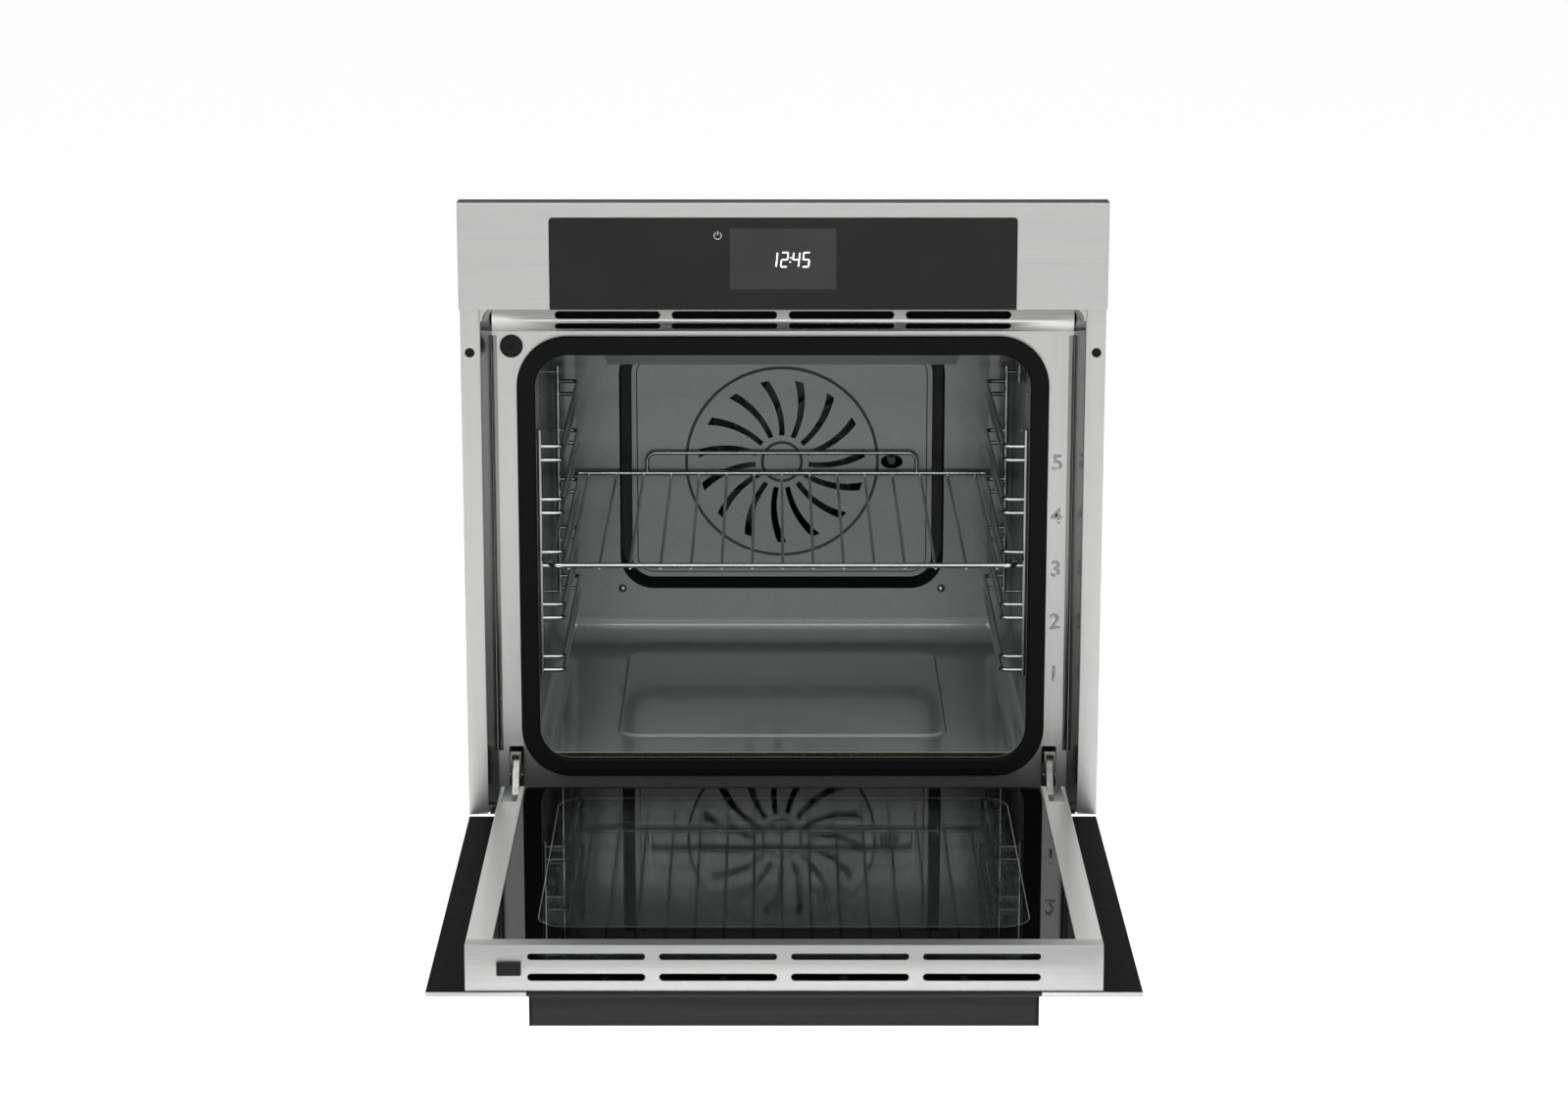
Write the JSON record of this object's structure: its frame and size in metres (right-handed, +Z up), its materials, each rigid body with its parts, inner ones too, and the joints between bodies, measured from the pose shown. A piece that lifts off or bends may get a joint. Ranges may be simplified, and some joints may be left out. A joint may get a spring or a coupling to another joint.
{
  "type": "wall oven",
  "caption": "Built-in wall oven with drop-down glazed door, steel fascia with touch glass, enamelled cavity, wire racks, sliding shelf and convection fan.",
  "frame": {"origin": "centre of the casing's base face", "axes": "+Z up, -Y towards the user, X to the user's right"},
  "size_m": [0.595, 1.048, 0.6294],
  "materials": {
    "brushed_steel": "fine horizontal brushing",
    "pressed_steel": "satin pressed stainless sheet",
    "door_rail_steel": "satin, brushed lengthwise",
    "door_cap_steel": "bright satin, brushed lengthwise",
    "black_glass": "back-painted black glass, glossy",
    "door_inner_glass": "reflective coated glass with a black printed border",
    "middle_glass": "clear reflective glass",
    "black_plastic": "fine matt moulded plastic",
    "circuit_board": "solder mask green",
    "seal_rubber": "smooth matt silicone",
    "grey_enamel": "dark grey vitreous enamel, glossy",
    "screw_steel": "bright turned steel",
    "chromed_wire": "polished chromed wire",
    "element_sheath": "dark oxidised heater sheath",
    "fan_steel": "plain stainless sheet",
    "motor_iron": "satin lamination stack",
    "lamp_ceramic": "unglazed white steatite",
    "lamp_glass": "clear pressed glass",
    "mineral_wool": "fibrous blanket",
    "galvanised_steel": "zinc-coated sheet, satin",
    "hose_silicone": "black silicone hose",
    "black_lacquer": "baked matt black lacquer on steel",
    "hinge_steel": "zinc-plated pressed steel",
    "spring_steel": "oiled spring steel",
    "handle_aluminium": "dark anodised satin"
  },
  "bodies": {
    "oven": {"control_fascia": "brushed_steel", "control_glass": "black_glass", "fascia_carrier": "black_plastic", "control_board": "circuit_board", "front_frame": "pressed_steel", "vent_rail": "pressed_steel", "door_gasket": "seal_rubber", "drain_valve": "black_plastic", "cavity_liner": "grey_enamel", "fan_chamber": "grey_enamel", "fan_cover": "grey_enamel", "sheet_screws": "screw_steel", "ring_element": "element_sheath", "rear_hood": "grey_enamel", "fan_motor": "motor_iron", "grill_element": "element_sheath", "grill_hangers": "screw_steel", "bottom_element": "element_sheath", "temperature_sensor": "screw_steel", "oven_lamp": "lamp_ceramic", "lamp_lens": "lamp_glass", "probe_socket": "screw_steel", "side_rack_left": "chromed_wire", "side_rack_right": "chromed_wire", "insulation_blanket": "mineral_wool", "casing_sides": "galvanised_steel", "casing_base": "galvanised_steel", "casing_rear": "galvanised_steel", "casing_top": "galvanised_steel", "cable_gland": "black_plastic", "terminal_block": "black_plastic", "steam_generator": "galvanised_steel", "steam_pipe": "hose_silicone", "blower_housing": "galvanised_steel", "blower_motor": "motor_iron", "air_duct": "black_lacquer", "door_switch": "black_plastic", "hinge_arms": "hinge_steel", "hinge_receivers": "hinge_steel"},
    "door": {"hinge_cartridges": "hinge_steel", "hinge_pins": "screw_steel", "hinge_springs": "spring_steel", "door_outer_glass": "black_glass", "door_trims": "brushed_steel", "door_rails": "door_rail_steel", "door_top_cap": "door_cap_steel", "door_foot_strip": "black_plastic", "door_inner_glass": "door_inner_glass", "door_middle_glasses": "middle_glass", "pane_spacers": "black_plastic", "door_catch": "black_plastic", "handle": "handle_aluminium", "handle_end_caps": "black_plastic", "handle_screws": "screw_steel"},
    "shelf": {"wire_shelf": "chromed_wire"},
    "fan": {"convection_fan": "fan_steel", "fan_shaft": "screw_steel"},
    "blower": {"blower_wheel": "fan_steel"},
    "latch_left": {"hinge_latch_left": "hinge_steel"},
    "latch_right": {"hinge_latch_right": "hinge_steel"}
  },
  "joints": [
    {"name": "door_hinge", "type": "hinge", "parent": "oven", "child": "door", "pos_m": [0, -0.2857, 0.0053], "axis": [1, 0, 0], "range_deg": [-90, 0]},
    {"name": "shelf_slide", "type": "slide", "parent": "oven", "child": "shelf", "axis": [0, -1, 0], "range_m": [0, 0.35]},
    {"name": "convection_fan_spin", "type": "hinge", "parent": "oven", "child": "fan", "pos_m": [0, 0.205, 0.246], "axis": [0, 1, 0], "continuous": true},
    {"name": "cooling_blower_spin", "type": "hinge", "parent": "oven", "child": "blower", "pos_m": [0, -0.213, 0.535], "axis": [1, 0, 0], "continuous": true},
    {"name": "hinge_latch_left_flip", "type": "hinge", "parent": "oven", "child": "latch_left", "pos_m": [-0.254, -0.256, 0.034], "axis": [1, 0, 0], "range_deg": [0, 55]},
    {"name": "hinge_latch_right_flip", "type": "hinge", "parent": "oven", "child": "latch_right", "pos_m": [0.254, -0.256, 0.034], "axis": [1, 0, 0], "range_deg": [0, 55]}
  ]
}
